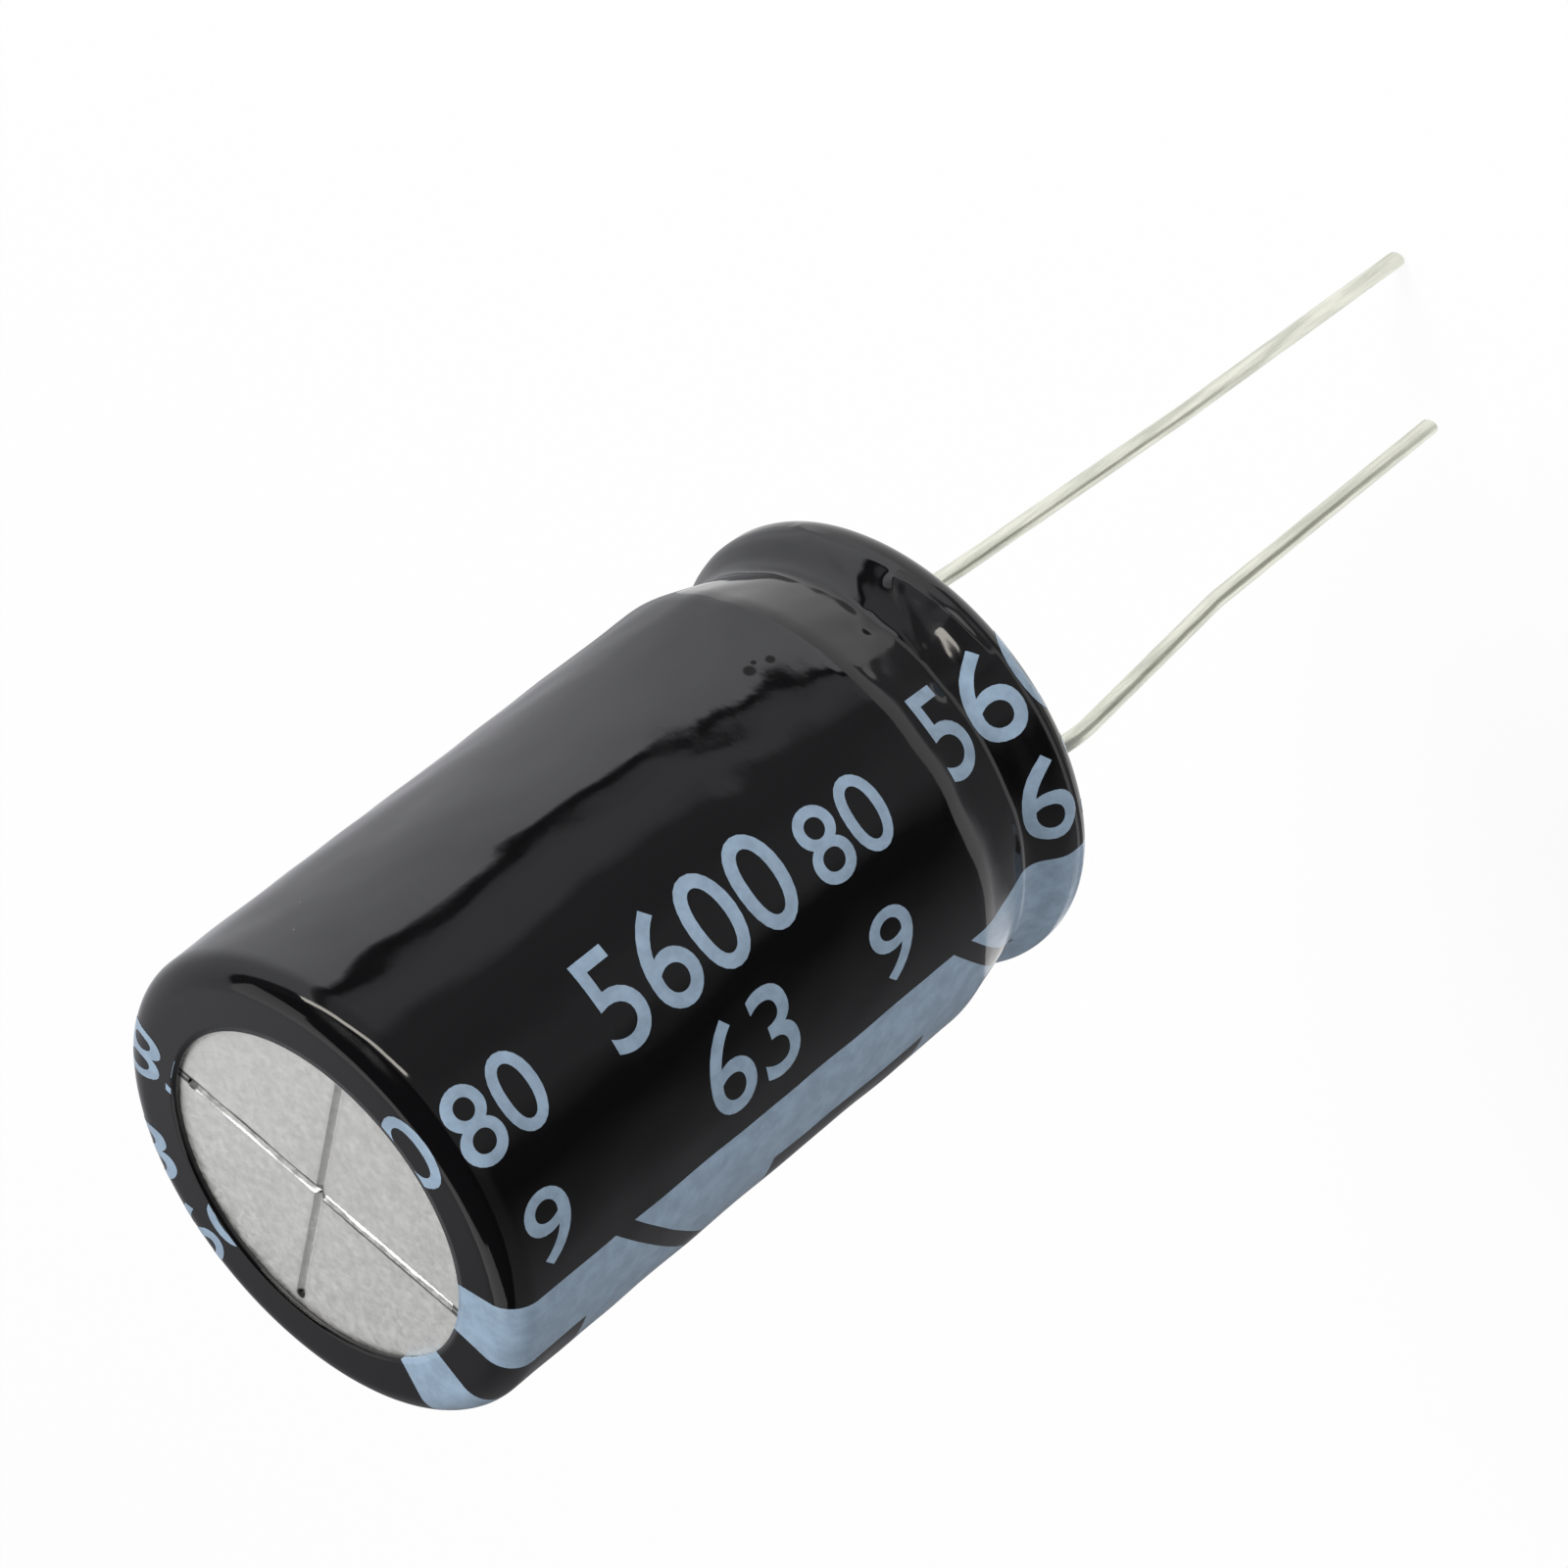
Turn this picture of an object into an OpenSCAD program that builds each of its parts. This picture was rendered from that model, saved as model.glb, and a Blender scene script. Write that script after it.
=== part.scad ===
// Radial electrolytic capacitor, 16 mm can, with its wound element inside.
// The origin is the centre of the face that sits on the board. +Z runs up to the vent,
// the leads run down -Z from the X axis: anode at +X, cathode at -X. Units are millimetres.

/* [Body] */
// Height of the finished body, over the sleeve at both ends
body_h = 27; // [20:0.5:42]
// Outer diameter of the drawn can
can_d = 16; // [14:0.5:22]
// Thickness of the can's sheet
can_wall = 0.4; // [0.25:0.05:0.6]
// Outer radius of the corner round the vent
corner_r = 0.8; // [0.5:0.1:2]

/* [Bead groove] */
// How far the groove is rolled into the can
groove_depth = 0.76; // [0.6:0.02:1]
// Radius at the bottom of the groove
groove_r = 1.25; // [0.8:0.05:2.2]
// Outer radius of the shoulder over the groove
shoulder_r = 3.05; // [1.5:0.05:5]
// Outer radius of the shoulder under the groove
lip_r = 0.8; // [0.65:0.05:1]

/* [Curled rim] */
// How much smaller the can's radius is under the groove than over it
rim_step = 0.12; // [0.04:0.02:0.2]
// Height of the straight wall between the groove and the turn to the seat
skirt_h = 0.2; // [0.05:0.05:1]
// Outer radius of the turn from the wall to the seat
rim_r = 0.75; // [0.6:0.05:1.2]
// Width of the flat ring on the seat, before the curl
rim_flat = 0.45; // [0.2:0.05:1]
// Outer radius of the curl that bites into the rubber
curl_r = 0.75; // [0.6:0.05:1]
// How far the curl turns up
curl_angle = 80; // [40:5:90]

/* [Vent] */
// Bare metal between the end of each scored line and the sleeve
score_end = 0.37; // [0.1:0.01:2]
// Width of a score at the surface
score_w = 0.34; // [0.2:0.02:0.6]
// Depth of a score
score_depth = 0.16; // [0.08:0.02:0.25]
// Turn of the scored cross from the line through the leads
score_turn = -3; // [-45:1:45]

/* [Sleeve] */
// Thickness of the shrunk sleeve
sleeve_wall = 0.18; // [0.08:0.02:0.3]
// Room between the can and the sleeve
sleeve_gap = 0.02; // [0.02:0.01:0.05]
// Width of the sleeve's fold over the vent, from the can's outer wall
vent_fold = 2.13; // [1.2:0.01:3]
// Width of the sleeve's fold over the seat, from the rim's outer wall
seat_fold = 2; // [1.3:0.05:3]

/* [Rubber seal] */
// Height of the seal's outer face over the seat
seal_recess = 0.35; // [0.25:0.05:0.6]
// Height of the seal's inner face over the top of the groove
seal_over = 0.4; // [0.2:0.1:2]
// Room between the seal and the can
seal_gap = 0.02; // [0.02:0.01:0.05]
// Room between the seal and what passes through it
bore_gap = 0.02; // [0.02:0.01:0.05]
// Height of the step in each bore over the seat
bore_step = 1.2; // [0.8:0.1:2]

/* [Leads] */
// Distance between the leads where they leave the seal
lead_pitch = 7.5; // [5:0.5:10]
// Diameter of the tinned wire
wire_d = 0.6; // [0.4:0.05:1]
// Drop of the anode wire's tip under the seat
anode_drop = 28.9; // [20:0.1:35]
// Drop of the cathode wire's tip under the seat
cathode_drop = 23.5; // [15:0.1:30]
// Inner radius of the bends in the wires
wire_bend_r = 6; // [3:0.5:12]
// How much thicker a bend's tin coat is than the wire's
bend_swell = 0.01; // [0.005:0.005:0.02]
// Room between the step in the bore and the weld's fillet
weld_room = 0.15; // [0.05:0.05:0.5]
// Height of the weld's fillet
weld_h = 0.4; // [0.2:0.05:0.6]
// Diameter of the weld's fillet on the boss
weld_d = 1.4; // [0.9:0.1:1.8]

/* [Tabs] */
// Diameter of the aluminium boss in the seal
boss_d = 2; // [1.4:0.1:2.6]
// Room between the seal and the neck, and between the neck and the paper
neck_room = 0.1; // [0.05:0.05:0.5]
// Length of the flattened neck between boss and paddle
neck_h = 1.1; // [0.8:0.1:2]
// Width of the paddle that is stitched to the foil
paddle_w = 2.4; // [1.6:0.1:3]
// Thickness of the paddle
paddle_t = 0.25; // [0.15:0.01:0.35]
// Foil left bare over the paddle's end
paddle_end = 1; // [0.5:0.1:3]
// Number of stitches in each paddle
stitches = 4; // [2:1:6]
// Diameter of a stitch
stitch_d = 0.7; // [0.4:0.05:1]
// Distance of the first and last stitch from the foil's edge and the paddle's end
stitch_end = 1.5; // [0.8:0.1:2.5]
// Room round a stitch in its foil
stitch_gap = 0.02; // [0.02:0.01:0.05]

/* [Winding] */
// Thickness of the etched anode foil
anode_foil_t = 0.1; // [0.06:0.01:0.14]
// Thickness of the cathode foil
cathode_foil_t = 0.05; // [0.03:0.01:0.08]
// Thickness of each paper separator
paper_t = 0.05; // [0.03:0.01:0.08]
// Room between one layer and the next
layer_gap = 0.02; // [0.02:0.005:0.04]
// Least radius of the hollow core that the layers are wound round
core_least = 1; // [0.8:0.1:1.6]
// Least room between the winding and the can's wall
winding_room = 0.15; // [0.1:0.05:0.5]
// Room between the paper and the vent
vent_room = 0.88; // [0.5:0.01:2]
// Paper that stands past each edge of the foils
paper_over = 1; // [0.5:0.1:2]
// Thickness of the tape that closes the winding
tape_t = 0.05; // [0.03:0.01:0.08]
// Paper left bare over and under the tape
tape_edge = 2.5; // [1:0.5:4]

/* [Hidden] */
$fn = 96;
can_top = body_h - sleeve_wall - sleeve_gap;
can_r = can_d / 2;
can_seat = sleeve_wall + sleeve_gap;
cavity_r = can_r - can_wall;

// The groove is gentle over its bottom and steeper under it. Its flanks have the slopes of
// a 7:24:25 and a 3:4:5 triangle, so that all ends fall on round numbers.
high_slope = atan(7 / 24);
low_slope = atan(3 / 4);
lip_depth = groove_depth - rim_step;
high_flank = flank(groove_depth, shoulder_r, high_slope);
low_flank = flank(lip_depth, lip_r, low_slope);
groove_over = (shoulder_r + groove_r) * sin(high_slope) + high_flank * cos(high_slope);
groove_under = (lip_r + groove_r) * sin(low_slope) + low_flank * cos(low_slope);
groove_z = can_seat + rim_r + skirt_h + groove_under;
groove_top = groove_z + groove_over;

// The can's outer face as a walk from the middle of the vent, out, down and back in.
// A step is [length] for a straight stretch or [radius, turn] for an arc, where a turn
// to the right is minus and keeps the metal on the inside of the bend.
wall_h = can_top - corner_r - groove_top;
down_walk = [
    [corner_r, -90],
    [wall_h],
    [shoulder_r, -high_slope],
    [high_flank],
    [groove_r, high_slope + low_slope],
    [low_flank],
    [lip_r, -low_slope],
    [skirt_h],
    [rim_r, -90]
];
can_walk = concat([[can_r - corner_r]], down_walk, [[rim_flat], [curl_r, -curl_angle]]);
sleeve_walk = concat([[vent_fold - corner_r]], down_walk, [[seat_fold - rim_r]]);
vent_r = can_r - vent_fold;

// Seal, tabs and winding stand on each other up the can.
seal_top = groove_top + seal_over;
lead_x = lead_pitch / 2;
wire_r = wire_d / 2;
boss_r = boss_d / 2;
weld_z = bore_step + weld_room + weld_h;
neck_z = seal_top + neck_room;
paper_z = neck_z + neck_h + neck_room;
paper_h = can_top - can_wall - vent_room - paper_z;
foil_z = paper_z + paper_over;
foil_h = paper_h - 2 * paper_over;
paddle_top = foil_z + foil_h - paddle_end;

// Layers from the inside out: paper, anode foil, paper, cathode foil.
layer_t = [paper_t, anode_foil_t, paper_t, cathode_foil_t];
anode_layer = 1;
cathode_layer = 3;
pitch = layer_at(4);
anode_out = layer_at(anode_layer) + anode_foil_t;
cathode_out = layer_at(cathode_layer) + cathode_foil_t;

// The anode paddle lies over its lead, on a whole number of turns from the core, and the
// cathode paddle half a turn off, on the turn that is nearest to its own lead.
paddle_in = lead_x - paddle_t / 2 - layer_gap - anode_out;
anode_turn = floor((paddle_in - core_least) / pitch);
core_r = paddle_in - anode_turn * pitch;
cathode_turn = round(anode_turn - 0.5 - (cathode_out - anode_out) / pitch);
tab_swell = paddle_t + 2 * layer_gap;
// The can is wound full: as many turns as leave one more for the tape.
turns = floor((cavity_r - winding_room - tape_t - tab_swell - core_r) / pitch) - 1;
anode_paddle_r = x_face(anode_layer, anode_turn) + anode_foil_t + layer_gap;
cathode_paddle_r = y_face(cathode_layer, cathode_turn) + cathode_foil_t + layer_gap;

// Bends of the wires, as [height, lean after the bend]. A lean towards the other wire is plus.
anode_bends = [[-0.9, 5.4], [-6.4, 3.2], [-17.5, 2]];
cathode_bends = [[-0.8, -7], [-3.4, 4.8], [-11.6, 0]];
lap = 0.05;

// Straight flank of the groove that, with the arcs at its ends, is as deep as it should be.
function flank(depth, end_r, slope) =
    round((depth - (end_r + groove_r) * (1 - cos(slope))) / sin(slope) * 100) / 100;

// Rounded to a thousandth, so that neighbouring half turns share one edge.
function snap(v) = round(v * 1000) / 1000;

// Distance of a layer's inner face from the first layer's.
function layer_at(k) = k == 0 ? 0 : layer_at(k - 1) + layer_t[k - 1] + layer_gap;

// Inner face of layer k on turn n, on the +X side and half a turn later on the -X side.
function x_face(k, n) =
    snap(core_r + layer_at(k) + n * pitch + (past_tab(k, n, anode_layer, anode_turn) ? tab_swell : 0));
function y_face(k, n) =
    snap(core_r + layer_at(k) + (n + 0.5) * pitch
        + (past_tab(k, n, cathode_layer, cathode_turn) ? tab_swell : 0));
function past_tab(k, n, tab_layer, turn) = n > turn || (n == turn && k > tab_layer);

// Where a walk has got to after its first n steps, as [x, y, heading].
function walked(walk, start, n) =
    n == 0 ? start : after(walked(walk, start, n - 1), walk[n - 1]);
function after(at, step) =
    len(step) == 1
        ? [at[0] + step[0] * cos(at[2]), at[1] + step[0] * sin(at[2]), at[2]]
        : let (side = sign(step[1]), mid = arc_mid(at, step), end = at[2] + step[1])
            [mid[0] + side * step[0] * sin(end), mid[1] - side * step[0] * cos(end), end];
function arc_mid(at, step) =
    let (side = sign(step[1]))
        [at[0] - side * step[0] * sin(at[2]), at[1] + side * step[0] * cos(at[2])];

// Section of a sheet along a walk, from "deep" inside the walked line to "proud" outside it.
module sheet(walk, start, deep, proud) {
    for (n = [0 : len(walk) - 1]) {
        at = walked(walk, start, n);
        step = walk[n];
        if (len(step) == 1) {
            translate([at[0], at[1]])
                rotate(at[2])
                    translate([0, -deep])
                        square([step[0], deep + proud]);
        } else {
            mid = arc_mid(at, step);
            side = sign(step[1]);
            inner = side < 0 ? step[0] - deep : step[0] - proud;
            outer = side < 0 ? step[0] + proud : step[0] + deep;
            from = at[2] - side * 90;
            translate([mid[0], mid[1]])
                arc_band(inner, outer, from, from + step[1]);
        }
    }
}

// Part of a ring between two angles less than a half turn apart.
module arc_band(inner, outer, from, to) {
    far = 10 * ceil(outer / 5);
    intersection() {
        difference() {
            circle(outer);
            circle(inner);
        }
        polygon([
            [0, 0],
            far * [cos(from), sin(from)],
            far * [cos((from + to) / 2), sin((from + to) / 2)],
            far * [cos(to), sin(to)]
        ]);
    }
}

module sleeve() {
    color([0.06, 0.06, 0.07])
        rotate_extrude()
            sheet(sleeve_walk, [vent_r, can_top, 0], -sleeve_gap, sleeve_gap + sleeve_wall);
}

module can() {
    color([0.78, 0.79, 0.8])
        difference() {
            rotate_extrude()
                sheet(can_walk, [0, can_top, 0], can_wall, 0);
            for (turn = [0, 90])
                rotate([0, 0, turn + score_turn])
                    score();
        }
}

// One scored line: a V that is cut into the vent from outside.
module score() {
    score_r = vent_r - score_end;
    translate([-score_r, 0, can_top])
        rotate([90, 0, 90])
            linear_extrude(2 * score_r)
                polygon([[-score_w, score_depth], [score_w, score_depth], [0, -score_depth]]);
}

module rubber_seal() {
    color([0.12, 0.12, 0.12])
        difference() {
            rotate_extrude()
                difference() {
                    translate([0, seal_recess])
                        square([cavity_r - seal_gap, seal_top - seal_recess]);
                    sheet(can_walk, [0, can_top, 0], can_wall + seal_gap, seal_gap);
                    sheet(down_walk, [can_r - corner_r, can_top, 0], can_wall, groove_depth);
                }
            for (side = [-1, 1])
                translate([side * lead_x, 0, 0]) {
                    cylinder(h = seal_top + 1, r = wire_r + bore_gap);
                    translate([0, 0, bore_step])
                        cylinder(h = seal_top, r = boss_r + bore_gap);
                }
        }
}

module lead_wire(x, bends, drop) {
    color([0.75, 0.75, 0.7]) {
        translate([x, 0, bends[0][0] - lap])
            cylinder(h = weld_z - bends[0][0] + lap, r = wire_r);
        translate([x, 0, weld_z - weld_h])
            cylinder(h = weld_h, r1 = wire_r, r2 = weld_d / 2);
        wire_from([x, bends[0][0], 0], bends, 0, drop, -sign(x));
    }
}

// The rest of a wire from bend n on: the bend, then the straight stretch after it.
// "at" is [x, z, lean] where the bend starts, and a lean is plus towards the other wire.
// Each straight stretch reaches a little way into the bends at its ends.
module wire_from(at, bends, n, drop, toward) {
    lean = bends[n][1];
    turn = lean - at[2];
    hub = sign(turn) * (wire_bend_r + wire_r);
    bent_x = at[0] + toward * hub * (cos(at[2]) - cos(lean));
    bent_z = at[1] - hub * (sin(lean) - sin(at[2]));
    last = n + 1 == len(bends);
    end_z = last ? -drop : bends[n + 1][0];
    run = (bent_z - end_z) / cos(lean);
    low = last ? run : run + lap;
    translate([at[0], 0, at[1]])
        rotate([0, -toward * at[2], 0])
            bend(toward * sign(turn), abs(turn));
    translate([bent_x, 0, bent_z])
        rotate([0, -toward * lean, 0])
            translate([0, 0, -low])
                cylinder(h = low + lap, r = wire_r);
    if (!last)
        wire_from([bent_x + toward * run * sin(lean), end_z, lean], bends, n + 1, drop, toward);
}

// A wire that starts down -Z at the origin and bends towards side * X.
module bend(side, angle) {
    reach = wire_bend_r + wire_r;
    translate([side * reach, 0, 0])
        rotate([90, 0, 0])
            rotate([0, 0, side > 0 ? 180 : -angle])
                rotate_extrude(angle = angle)
                    translate([reach, 0])
                        circle(wire_r + bend_swell);
}

module anode_wire() {
    lead_wire(lead_x, anode_bends, anode_drop);
}

module cathode_wire() {
    lead_wire(-lead_x, cathode_bends, cathode_drop);
}

// An aluminium tab: round boss in the seal, flattened neck, and the paddle, which
// follows the foil. It is drawn at +X, with its stitches through the foil under it.
module tab(paddle_r, foil_t) {
    color([0.83, 0.84, 0.86]) {
        translate([lead_x, 0, weld_z])
            cylinder(h = neck_z - weld_z, r = boss_r);
        neck(paddle_r);
        translate([0, 0, neck_z + neck_h - lap])
            linear_extrude(paddle_top - neck_z - neck_h + lap)
                arc_band(paddle_r, paddle_r + paddle_t, -paddle_angle(paddle_r), paddle_angle(paddle_r));
        for (n = [0 : stitches - 1])
            stitch(n, paddle_r - layer_gap - foil_t, paddle_r + paddle_t / 2, stitch_d);
    }
}

// The neck tapers from the boss to a bar that the foot of the paddle stands in.
module neck(paddle_r) {
    thin_in = paddle_r * cos(paddle_angle(paddle_r)) - lap;
    thin_out = paddle_r + paddle_t + lap;
    intersection() {
        translate([lead_x, 0, neck_z])
            cylinder(h = neck_h, r1 = boss_r, r2 = paddle_w / 2 + 2 * lap);
        rotate([90, 0, 0])
            linear_extrude(2 * paddle_w, center = true)
                polygon([
                    [lead_x - boss_r, neck_z],
                    [lead_x + boss_r, neck_z],
                    [thin_out, neck_z + neck_h],
                    [thin_in, neck_z + neck_h]
                ]);
    }
}

function paddle_angle(paddle_r) = asin(paddle_w / 2 / (paddle_r + paddle_t));

// Stitch n of a paddle as a round bar along X between two radii.
module stitch(n, from_r, to_r, d) {
    low = foil_z + stitch_end;
    high = paddle_top - stitch_end;
    translate([from_r, 0, low + (high - low) * n / (stitches - 1)])
        rotate([0, 90, 0])
            cylinder(h = to_r - from_r, d = d, $fn = 48);
}

module anode_tab() {
    tab(anode_paddle_r, anode_foil_t);
}

module cathode_tab() {
    rotate([0, 0, 180])
        tab(cathode_paddle_r, cathode_foil_t);
}

// Section of layer k: half rings whose centres lie on the X axis, each on its own
// radius, so that every half turn carries on from the one before it.
module spiral(k, thick, from, to) {
    for (n = [from : to - 1]) {
        half_ring(x_face(k, n), y_face(k, n), thick, 0);
        half_ring(x_face(k, n + 1), y_face(k, n), thick, -1);
    }
}

module half_ring(x_in, y_in, thick, below) {
    mid = (x_in - y_in) / 2;
    inner = (x_in + y_in) / 2;
    box = inner + thick + 1;
    intersection() {
        translate([mid, 0])
            difference() {
                circle(inner + thick);
                circle(inner);
            }
        translate([-box, below * box])
            square([2 * box, box]);
    }
}

// A foil or paper strip of the winding, on edge from a height up.
module strip(k, low, height) {
    translate([0, 0, low])
        linear_extrude(height)
            spiral(k, layer_t[k], 0, turns);
}

module anode_foil() {
    foil_r = anode_paddle_r - layer_gap - anode_foil_t;
    color([0.6, 0.61, 0.62])
        difference() {
            strip(anode_layer, foil_z, foil_h);
            for (n = [0 : stitches - 1])
                stitch(n, foil_r - pitch / 3, foil_r + pitch / 2, stitch_d + 2 * stitch_gap);
        }
}

module cathode_foil() {
    foil_r = cathode_paddle_r - layer_gap - cathode_foil_t;
    color([0.7, 0.71, 0.72])
        difference() {
            strip(cathode_layer, foil_z, foil_h);
            rotate([0, 0, 180])
                for (n = [0 : stitches - 1])
                    stitch(n, foil_r - pitch / 3, foil_r + pitch / 2, stitch_d + 2 * stitch_gap);
        }
}

module separator_inner() {
    color([0.85, 0.8, 0.66])
        strip(0, paper_z, paper_h);
}

module separator_outer() {
    color([0.82, 0.77, 0.62])
        strip(2, paper_z, paper_h);
}

// The tape goes once round the last turn.
module fixing_tape() {
    color([0.55, 0.42, 0.2])
        translate([0, 0, paper_z + tape_edge])
            linear_extrude(paper_h - 2 * tape_edge)
                spiral(0, tape_t, turns, turns + 1);
}

sleeve();
can();
rubber_seal();
anode_wire();
cathode_wire();
anode_tab();
cathode_tab();
anode_foil();
cathode_foil();
separator_inner();
separator_outer();
fixing_tape();
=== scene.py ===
# %% [markdown]
# # A radial electrolytic capacitor, dressed over its CAD model
# The CAD model gives every solid its place and size. This script adds what a drawing can't
# hold: the shrunk sleeve with its gloss and slight waves, the print, the tin on the leads,
# and the light. Every length is in metres, so sizes are written as so many times mm.

# %% Load the CAD model
from math import atan2, ceil, cos, degrees, exp, pi, radians, sin, tan

import bmesh
import bpy
from mathutils import Matrix, Vector, noise


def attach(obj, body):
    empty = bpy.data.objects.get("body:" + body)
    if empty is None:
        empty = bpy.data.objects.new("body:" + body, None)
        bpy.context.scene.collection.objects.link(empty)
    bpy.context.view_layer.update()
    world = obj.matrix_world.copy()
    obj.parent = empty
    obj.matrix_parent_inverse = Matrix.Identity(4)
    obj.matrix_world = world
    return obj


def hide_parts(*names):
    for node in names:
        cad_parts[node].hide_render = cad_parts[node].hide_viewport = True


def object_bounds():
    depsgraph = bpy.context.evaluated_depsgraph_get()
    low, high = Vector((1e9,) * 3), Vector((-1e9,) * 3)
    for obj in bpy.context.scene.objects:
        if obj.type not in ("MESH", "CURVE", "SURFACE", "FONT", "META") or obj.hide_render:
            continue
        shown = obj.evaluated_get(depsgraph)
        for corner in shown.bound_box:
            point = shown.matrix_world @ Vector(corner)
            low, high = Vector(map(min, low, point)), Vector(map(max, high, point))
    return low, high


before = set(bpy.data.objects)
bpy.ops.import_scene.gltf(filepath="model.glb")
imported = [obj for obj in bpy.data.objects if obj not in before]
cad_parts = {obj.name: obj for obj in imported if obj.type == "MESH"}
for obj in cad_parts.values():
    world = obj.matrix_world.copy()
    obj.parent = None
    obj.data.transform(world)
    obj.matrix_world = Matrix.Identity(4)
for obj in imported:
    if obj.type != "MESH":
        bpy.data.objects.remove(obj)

mm = 0.001
scene = bpy.context.scene
cad_box = [list(corner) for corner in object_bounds()]
print("CAD nodes:", sorted(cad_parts))
print("CAD box in mm:", [[round(v / mm, 2) for v in corner] for corner in cad_box])

# %% [markdown]
# The photograph was taken close to the vent end with a long lens. Six angles and lengths
# hold the view: where the camera stands round the can, how high, how far, how much it is
# rolled, and how far it looks past the middle of the body, sideways and upwards. Three turns
# of the camera could do the same, but a matrix whose columns are its own right, up and
# backward directions is easier to check.

# %% Camera
camera_azimuth = radians(-115)
camera_height = radians(31.137)
camera_distance = 211.61 * mm
camera_roll = radians(231.434)
aim_right, aim_up = radians(0.253), radians(-1.747)
body_middle = Vector((0, 0, 12.5 * mm))


def way_to(azimuth, height):
    """The direction from the object to what stands at an azimuth and a height, both angles."""
    return Vector((cos(azimuth) * cos(height), sin(azimuth) * cos(height), sin(height)))


outward = way_to(camera_azimuth, camera_height)
level_right = (-outward).cross(Vector((0, 0, 1))).normalized()
level_up = level_right.cross(-outward)
ahead = (-outward + tan(aim_right) * level_right + tan(aim_up) * level_up).normalized()
side = ahead.cross(level_up).normalized()
above = side.cross(ahead)
right = side * cos(camera_roll) + above * sin(camera_roll)
up = above * cos(camera_roll) - side * sin(camera_roll)

camera = bpy.data.objects.new("camera", bpy.data.cameras.new("camera"))
scene.collection.objects.link(camera)
turn = Matrix((right, up, -ahead)).transposed()
camera.matrix_world = Matrix.Translation(body_middle + outward * camera_distance) @ turn.to_4x4()
camera.data.sensor_width = 36
camera.data.lens = 156.65
camera.data.clip_start = 10 * mm
scene.camera = camera
scene.view_settings.view_transform = "Standard"
print("camera stands at", [round(v / mm, 1) for v in camera.location], "mm")

# %% [markdown]
# Everything the scene adds is either a mesh or a tree of shader nodes. Each node could be
# placed by a few lines of its own, but small helpers keep a tree readable: each adds one
# node, sets its sockets and hands back what it puts out. Another helper turns a finished
# bmesh into an object.

# %% Helpers for meshes and node trees
merge_distance = 0.001 * mm


def new_piece(name, bm):
    """An object in the scene whose mesh is a finished bmesh, which is freed."""
    mesh = bpy.data.meshes.new(name)
    bm.to_mesh(mesh)
    bm.free()
    piece = bpy.data.objects.new(name, mesh)
    scene.collection.objects.link(piece)
    return piece


def empty_tree(owner):
    """The node tree of a material or a world, with nothing in it."""
    owner.use_nodes = True
    owner.node_tree.nodes.clear()
    return owner.node_tree


def add(tree, kind, settings=None, **sockets):
    """Adds a node. A socket is named with _ for a space and gets a number, colour or output."""
    made = tree.nodes.new(kind)
    for name, value in (settings or {}).items():
        setattr(made, name, value)
    for name, value in sockets.items():
        key = int(name[1:]) if name[1:].isdigit() else name.replace("_", " ")
        if isinstance(value, bpy.types.NodeSocket):
            tree.links.new(value, made.inputs[key])
        else:
            made.inputs[key].default_value = value
    return made


def maths(tree, operation, a, b=0.0, clamp=False):
    """One sum of a Math node, and its output."""
    settings = {"operation": operation, "use_clamp": clamp}
    return add(tree, "ShaderNodeMath", settings, _0=a, _1=b).outputs[0]


def soft_step(tree, value, start, end, low=0.0, high=1.0):
    """Goes smoothly from low to high as a value goes from start to end."""
    return add(tree, "ShaderNodeMapRange", {"interpolation_type": "SMOOTHSTEP"}, Value=value,
               From_Min=start, From_Max=end, To_Min=low, To_Max=high).outputs["Result"]


def on_object(tree):
    """The place on the object, in metres."""
    return add(tree, "ShaderNodeTexCoord").outputs["Object"]


def turned_back(tree, angle):
    """The place on the object as if it were turned back by an angle about Z."""
    return add(tree, "ShaderNodeMapping", Vector=on_object(tree),
               Rotation=(0, 0, -angle)).outputs[0]


def split(tree, where):
    """The X, Y and Z of a place."""
    return add(tree, "ShaderNodeSeparateXYZ", Vector=where).outputs


print("helpers: new_piece, empty_tree, add, maths, soft_step, on_object, turned_back, split")

# %% [markdown]
# The studio is a pale floor under the lead tips and a white world. More light would make
# them white too, but it would bleach the metal. So the Light Path node shows them white to
# the camera and in reflections, while the light they give the object stays at a plain level.
# The floor keeps a little of its own shading, and so it keeps the object's shadow.

# %% Floor and world
floor_half, floor_gap = 3.0, 0.1 * mm
floor_z = cad_box[0][2] - floor_gap
floor_glow = 0.93
world_level = 0.66


def white_to_sight(tree, white, lit):
    """Mixes a shader seen by camera, glossy and transmission rays with one for all others."""
    path = add(tree, "ShaderNodeLightPath").outputs
    seen = maths(tree, "MAXIMUM", path["Is Camera Ray"], path["Is Glossy Ray"])
    seen = maths(tree, "MAXIMUM", seen, path["Is Transmission Ray"])
    return add(tree, "ShaderNodeMixShader", _0=seen, _1=lit, _2=white).outputs[0]


floor_bm = bmesh.new()
bmesh.ops.create_grid(floor_bm, x_segments=1, y_segments=1, size=floor_half)
bmesh.ops.translate(floor_bm, verts=floor_bm.verts, vec=(0, 0, floor_z))
floor = new_piece("floor", floor_bm)

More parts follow.
